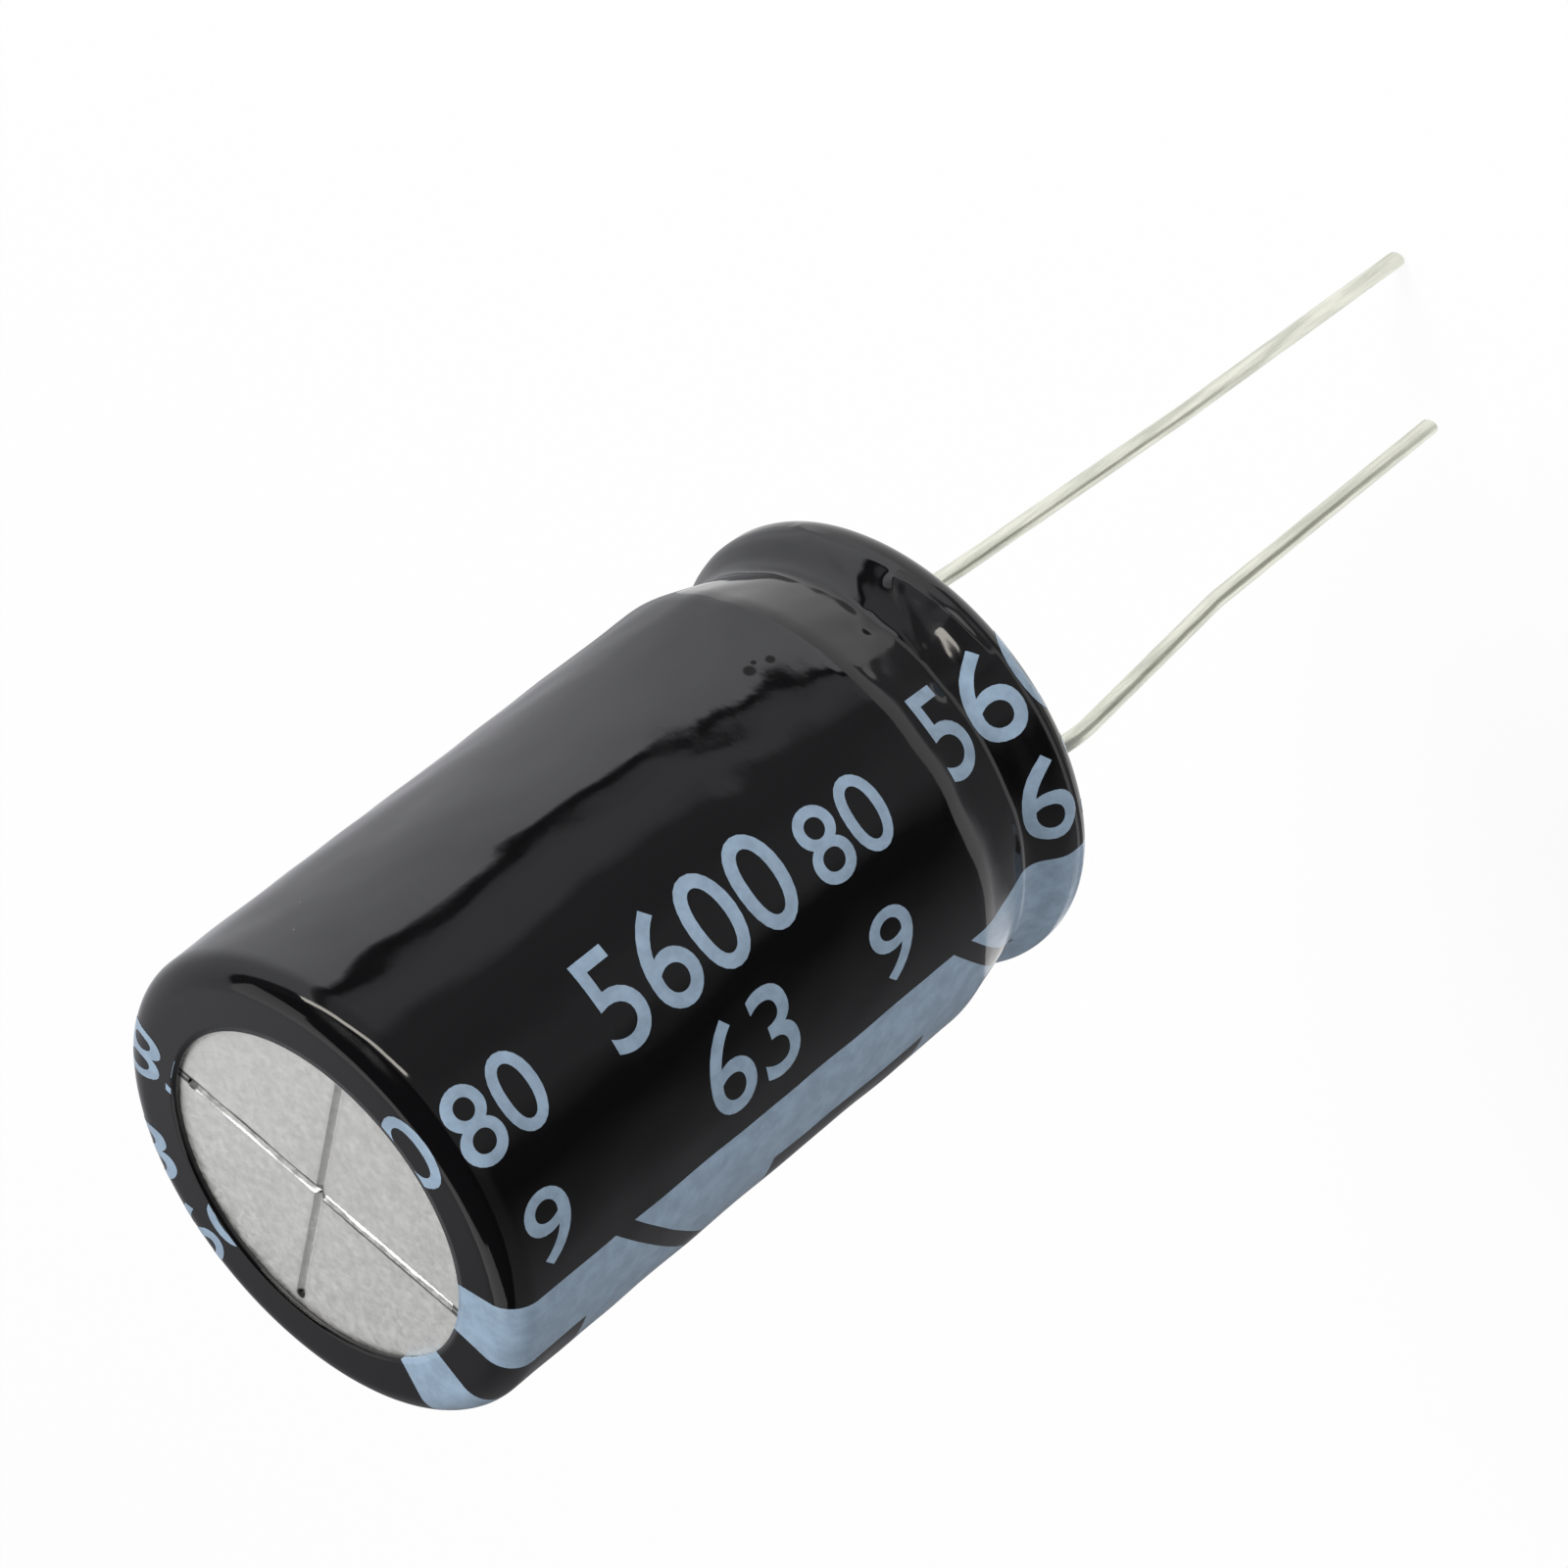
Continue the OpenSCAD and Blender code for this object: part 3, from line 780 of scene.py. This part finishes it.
def make_mottle():
    """Noise whose middle is spread from a low value to a high one."""
    made, given, result = group(
        "mottle",
        [("Vector", "NodeSocketVector", None), ("Per Metre", "NodeSocketFloat", 2000.0),
         ("Low", "NodeSocketFloat", 0.0), ("High", "NodeSocketFloat", 1.0)],
        [("Value", "NodeSocketFloat")],
    )
    noisy = add(made, "ShaderNodeTexNoise", Vector=given["Vector"], Scale=given["Per Metre"],
                Detail=4.0, Roughness=0.62)
    spread = soft_step(made, noisy.outputs["Fac"], noise_low, noise_high,
                       given["Low"], given["High"])
    made.links.new(spread, result.inputs["Value"])
    return made


def make_grain():
    """Plain noise as a height."""
    made, given, result = group(
        "grain",
        [("Vector", "NodeSocketVector", None), ("Per Metre", "NodeSocketFloat", 8000.0)],
        [("Height", "NodeSocketFloat")],
    )
    noisy = add(made, "ShaderNodeTexNoise", Vector=given["Vector"], Scale=given["Per Metre"],
                Detail=2.0, Roughness=0.5)
    made.links.new(noisy.outputs["Fac"], result.inputs["Height"])
    return made


mottle_group = make_mottle()
grain_group = make_grain()


def mottle(tree, where, per_metre, low, high):
    """Soft patches of a value."""
    return add(tree, "ShaderNodeGroup", {"node_tree": mottle_group}, Vector=where,
               Per_Metre=per_metre, Low=low, High=high).outputs["Value"]


def bump(tree, where, per_metre, distance, shader):
    """Fine grain on a shader's normal, as high as the distance says."""
    made = add(tree, "ShaderNodeGroup", {"node_tree": grain_group}, Vector=where,
               Per_Metre=per_metre)
    raised = add(tree, "ShaderNodeBump", Height=made.outputs["Height"], Distance=distance)
    tree.links.new(raised.outputs["Normal"], shader.inputs["Normal"])


print("node groups:", mottle_group.name, grain_group.name)

# %% [markdown]
# The stripe on the cathode side and the numbers are printed in one pale ink, which lies on
# the film a little unevenly. Both materials could hold the nodes for it, but then a new tone
# would have to be set twice, so the ink's colour is a node group as well.

# %% Ink
ink_tone = (0.262, 0.352, 0.456)
ink_dark, ink_light, ink_patches = 0.86, 1.1, 1500.0


def shade(tone, factor=1.0):
    """A colour for a socket, from a tone made lighter or darker."""
    return [factor * c for c in tone] + [1]


def mixed(tree, share, first, second):
    """A colour between two others."""
    made = add(tree, "ShaderNodeMix", {"data_type": "RGBA"})
    for index, value in ((0, share), (6, first), (7, second)):
        if isinstance(value, bpy.types.NodeSocket):
            tree.links.new(value, made.inputs[index])
        else:
            made.inputs[index].default_value = value
    return made.outputs[2]


def make_ink_tones():
    """The ink's colour, in patches where the screen left less or more of it."""
    made, given, result = group(
        "ink_tones",
        [("Vector", "NodeSocketVector", None), ("Per Metre", "NodeSocketFloat", 1500.0)],
        [("Color", "NodeSocketColor")],
    )
    amount = mottle(made, given["Vector"], given["Per Metre"], 0.0, 1.0)
    color = mixed(made, amount, shade(ink_tone, ink_dark), shade(ink_tone, ink_light))
    made.links.new(color, result.inputs["Color"])
    return made


ink_group = make_ink_tones()


def ink_tones(tree, where):
    """The colour of the ink at a place."""
    return add(tree, "ShaderNodeGroup", {"node_tree": ink_group}, Vector=where,
               Per_Metre=ink_patches).outputs["Color"]


print("node group:", ink_group.name)

# %% [markdown]
# Where the stripe's ink lies is a mask of 1 and 0. It could be painted as an image, but it
# is worked out from the place on the object, so its edges stay sharp in any close view. Its
# sides are two angles, its arrow-shaped breaks are slanted lines that repeat up the can, and
# the minus signs lie halfway between them.

# %% Mask of the stripe
stripe_turn, stripe_half = radians(163), radians(30)
# Heights of the stripe's pattern in millimetres: it repeats, an arrow rises to the sides.
pattern_repeat = 15.5
arrow_z, arrow_rise, arrow_half = 18.3, 3.9, 0.42
minus_z, minus_half_h, minus_half_w = 11.6, 3.5, radians(9)


def repeated(tree, height, middle):
    """How far a height is from the nearest repeat of the pattern's line at the middle."""
    return maths(tree, "PINGPONG", maths(tree, "SUBTRACT", height, middle), pattern_repeat / 2)


def stripe_mask(tree):
    """1 on the ink of the stripe, 0 elsewhere."""
    place = split(tree, turned_back(tree, stripe_turn))
    off_centre = maths(tree, "ABSOLUTE", maths(tree, "ARCTAN2", place["Y"], place["X"]))
    height = maths(tree, "DIVIDE", place["Z"], mm)
    stripe = maths(tree, "LESS_THAN", off_centre, stripe_half)
    slant = maths(tree, "MULTIPLY", off_centre, arrow_rise / stripe_half)
    arrow = repeated(tree, maths(tree, "SUBTRACT", height, slant), arrow_z)
    clear_of_arrow = maths(tree, "GREATER_THAN", arrow, arrow_half)
    minus = maths(tree, "LESS_THAN", repeated(tree, height, minus_z), minus_half_h)
    minus = maths(tree, "MULTIPLY", minus, maths(tree, "LESS_THAN", off_centre, minus_half_w))
    ink = maths(tree, "MULTIPLY", stripe, clear_of_arrow)
    return maths(tree, "SUBTRACT", ink, minus, clamp=True)


print("the stripe is", round(degrees(2 * stripe_half)), "degrees wide")

# %% [markdown]
# The film is black and glossy, with specks of dust on it and a few dull scuffs. Paint in a
# layer over it could make these, but each only changes the film's own tone or roughness, so
# masks are enough.

# %% Film and numbers
film_tone = (0.0026, 0.0026, 0.003)
film_patches, film_rough, ink_rough = 900.0, (0.05, 0.10), (0.15, 0.24)
film_grain, film_grain_h = 1600.0, 0.003 * mm
dust_tone, dust_per_metre, dust_size = (0.08, 0.08, 0.075), 520.0, 0.018
# Small dull scuffs, by turn from the camera, height and size.
scuffs = [
    (radians(31.5), 7.75 * mm, 0.26 * mm),
    (radians(30.5), 6.95 * mm, 0.20 * mm),
    (radians(32.5), 7.4 * mm, 0.12 * mm),
    (radians(-140), 15 * mm, 0.22 * mm),
]
scuff_core = 0.5


def apart(tree, where, spot):
    """How far a place is from a spot."""
    return add(tree, "ShaderNodeVectorMath", {"operation": "DISTANCE"},
               _0=where, _1=spot).outputs["Value"]


def surface(name, **sockets):
    """A material with a Principled shader, and its tree and that shader."""
    made = bpy.data.materials.new(name)
    tree = empty_tree(made)
    shader = add(tree, "ShaderNodeBsdfPrincipled", **sockets)
    add(tree, "ShaderNodeOutputMaterial", Surface=shader.outputs[0])
    return made, tree, shader


def film_look():
    """Black film with dust and scuffs, and the stripe in rougher ink."""
    look, tree, shader = surface("black_film", IOR=1.5)
    where = on_object(tree)
    dust = add(tree, "ShaderNodeTexVoronoi", Vector=where, Scale=dust_per_metre)
    dust = maths(tree, "LESS_THAN", dust.outputs["Distance"], dust_size)
    bare = mixed(tree, dust, shade(film_tone), shade(dust_tone))
    ink = stripe_mask(tree)
    tree.links.new(mixed(tree, ink, bare, ink_tones(tree, where)), shader.inputs["Base Color"])
    rough = mottle(tree, where, film_patches, *film_rough)
    rougher = ink_rough[0] - film_rough[0]
    rough = maths(tree, "ADD", rough, maths(tree, "MULTIPLY", ink, rougher))
    for turn, height, size in scuffs:
        round_turn = Matrix.Rotation(camera_azimuth + turn, 3, "Z")
        spot = round_turn @ Vector((can_r + skin, 0, height))
        scuffed = soft_step(tree, apart(tree, where, spot), size, size * scuff_core)
        rough = maths(tree, "ADD", rough, scuffed, clamp=True)
    tree.links.new(rough, shader.inputs["Roughness"])
    bump(tree, where, film_grain, film_grain_h, shader)
    return look


def ink_look():
    """The pale ink of the numbers."""
    look, tree, shader = surface("pale_ink", IOR=1.5)
    where = on_object(tree)
    tree.links.new(ink_tones(tree, where), shader.inputs["Base Color"])
    tree.links.new(mottle(tree, where, film_patches, *ink_rough), shader.inputs["Roughness"])
    return look


for piece, look in ((shrunk_sleeve, film_look()), (printed_numbers, ink_look())):
    piece.data.materials.append(look)
    print(look.name, "on", piece.name)

# %% [markdown]
# Bare metals differ mostly in roughness and in the size of their patches. A picture of each
# would show its marks, but would stretch over the thin parts, so patches of tone and of
# roughness come from the place on the object. Tin on the wire is drawn out in long streaks,
# so its pattern is stretched along the wire.

# %% Metals
finer_rough = 1.7


def patchy(name, tones, per_metre, rough, grain, squeeze=1.0, **sockets):
    """A surface whose tone and roughness go in patches between two values, with a fine grain."""
    look, tree, shader = surface(name, **sockets)
    where = on_object(tree)
    if squeeze != 1:
        where = add(tree, "ShaderNodeMapping", Vector=where, Scale=(1, 1, squeeze)).outputs[0]
    share = mottle(tree, where, per_metre, 0.0, 1.0)
    tree.links.new(mixed(tree, share, *tones), shader.inputs["Base Color"])
    rough = mottle(tree, where, per_metre * finer_rough, *rough)
    tree.links.new(rough, shader.inputs["Roughness"])
    grain_per_metre, grain_h = grain
    bump(tree, where, grain_per_metre, grain_h, shader)
    return look


def metal(name, tone, per_metre, dark, rough, grain_h=0.002 * mm, squeeze=1.0):
    """A bare metal, whose patches go from a dark share of its tone to all of it."""
    return patchy(name, (shade(tone, dark), shade(tone)), per_metre, rough,
                  (per_metre * 3, grain_h), squeeze, Metallic=1.0)


def dress(look, *nodes):
    """Gives CAD nodes one look."""
    for node in nodes:
        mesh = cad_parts[node].data
        mesh.materials.clear()
        mesh.materials.append(look)
    print(look.name, "on", ", ".join(nodes))


tin = metal("tinned_wire", (0.88, 0.89, 0.78), 4200.0, 0.7, (0.2, 0.42), 0.0015 * mm, 0.08)
tab = metal("tab_aluminium", (0.82, 0.82, 0.82), 3000.0, 0.85, (0.3, 0.45))
anode_sheet = metal("anode_foil", (0.45, 0.45, 0.46), 9000.0, 0.7, (0.7, 0.85))
cathode_sheet = metal("cathode_foil", (0.62, 0.62, 0.63), 9000.0, 0.8, (0.55, 0.7))
for piece in (anode_lead, cathode_lead):
    piece.data.materials.append(tin)
dress(tin, "anode_wire", "cathode_wire")
dress(tab, "anode_tab", "cathode_tab")
dress(anode_sheet, "anode_foil")
dress(cathode_sheet, "cathode_foil")

# %% [markdown]
# The vent is the dull face of the aluminium sheet, mottled from drawing. A blunt tool
# pressed a cross into it, one line narrow and the other broad, and that form is in the CAD
# model. Over the sheet's own look, masks add painted shade on the two slopes of the narrow
# line and along the broad line, a painted highlight down the narrow line's middle, which is
# also polished to less roughness, and dark spots where the lines cross and where they end.

# %% Scored vent
score_turn, tone_reach = radians(-3), 0.2 * mm
score_wander, wander_patches, score_step = 0.03 * mm, 500.0, 0.05 * mm
# A painted highlight down the bright line's middle, which is also polished to less roughness.
highlight_tone, bright_edge, bright_core = (0.97, 0.97, 0.97), 0.055 * mm, 0.02 * mm
bright_patches, least_bright, polish = 1500.0, 0.45, 0.15
# Painted shade on the two slopes beside the bright line.
slope_shade_tone, slope_edge, slope_core = (0.19, 0.19, 0.185), 0.24 * mm, 0.16 * mm
# Painted shade along the broad line.
broad_shade_tone, broad_edge, broad_core, broad_share = (0.72, 0.72, 0.7), 0.36 * mm, 0.08 * mm, 0.6
# Dark spots painted where the lines cross and where they end, by place and size.
dark_spot_tone, dark_spot_core = (0.06, 0.06, 0.06), 0.6
dark_spots = [
    (-0.05 * mm, 0.04 * mm, 0.22 * mm),
    (5.35 * mm, 0.05 * mm, 0.24 * mm),
    (0, 5.45 * mm, 0.2 * mm),
]


def scored_vent():
    """Drawn aluminium, with painted shade, a painted highlight and dark spots on its scored cross.
    """
    look = metal("can_aluminium", (0.98, 0.98, 0.955), 2600.0, 0.91, (0.45, 0.62), 0.004 * mm)
    tree = look.node_tree
    shader = next(n for n in tree.nodes if n.type == "BSDF_PRINCIPLED")
    tone = shader.inputs["Base Color"].links[0].from_socket
    rough = shader.inputs["Roughness"].links[0].from_socket
    where = on_object(tree)
    turned = turned_back(tree, score_turn)
    place = split(tree, turned)
    on_vent = maths(tree, "GREATER_THAN", place["Z"], can_top - tone_reach)
    wander = mottle(tree, where, wander_patches, -score_wander, score_wander)
    # The two halves of the bright line don't quite meet, so each is moved to its own side.
    step = maths(tree, "MULTIPLY", maths(tree, "SIGN", place["X"]), score_step)
    off_bright = maths(tree, "ADD", maths(tree, "ADD", place["Y"], step), wander)
    off_bright = maths(tree, "ABSOLUTE", off_bright)
    off_broad = maths(tree, "ABSOLUTE", maths(tree, "ADD", place["X"], wander))
    # Each line's tone is a mask that goes from its edge to its core: painted shade on the slopes
    # and along the broad line, and a painted highlight on the bright core.
    slopes = soft_step(tree, off_bright, slope_edge, slope_core)
    broad = maths(tree, "MULTIPLY", soft_step(tree, off_broad, broad_edge, broad_core), broad_share)
    bright = soft_step(tree, off_bright, bright_edge, bright_core)
    # Patches where the painted highlight and the polish are weaker.
    highlight_and_polish = mottle(tree, where, bright_patches, least_bright, 1.0)
    bright = maths(tree, "MULTIPLY", bright, highlight_and_polish)
    for mask, shown in ((slopes, slope_shade_tone), (broad, broad_shade_tone), (bright, highlight_tone)):
        tone = mixed(tree, maths(tree, "MULTIPLY", mask, on_vent), tone, shade(shown))
    for x, y, size in dark_spots:
        dark_spot = soft_step(tree, apart(tree, turned, (x, y, can_top)), size, size * dark_spot_core)
        tone = mixed(tree, dark_spot, tone, shade(dark_spot_tone))
    tree.links.new(tone, shader.inputs["Base Color"])
    rough = maths(tree, "SUBTRACT", rough, maths(tree, "MULTIPLY", bright, polish))
    tree.links.new(rough, shader.inputs["Roughness"])
    return look


dress(scored_vent(), "can")

# %% [markdown]
# The rubber seal is dull and faintly grained, and paper and tape lie between the foils. They
# are seen only if the can is opened. One grey would do for what is hidden, but each still
# has its own finish, made in the same way as a metal's but without the metallic value.

# %% Rubber, paper and tape
def dull(name, tone, other, per_metre, rough, grain_h, squeeze=1.0):
    """A surface that isn't metal, mixed from two tones."""
    return patchy(name, (shade(tone), shade(other)), per_metre, rough,
                  (per_metre * 2, grain_h), squeeze)


rubber = dull("seal_rubber", (0.016, 0.016, 0.017), (0.03, 0.03, 0.031), 5000.0, (0.6, 0.8),
              0.01 * mm)
paper = dull("separator_paper", (0.62, 0.53, 0.36), (0.74, 0.66, 0.49), 4000.0, (0.85, 0.95),
             0.006 * mm, 0.25)
tape = dull("tape_film", (0.35, 0.17, 0.04), (0.42, 0.22, 0.06), 1500.0, (0.25, 0.35),
            0.002 * mm)
dress(rubber, "rubber_seal")
dress(paper, "separator_inner", "separator_outer")
dress(tape, "fixing_tape")
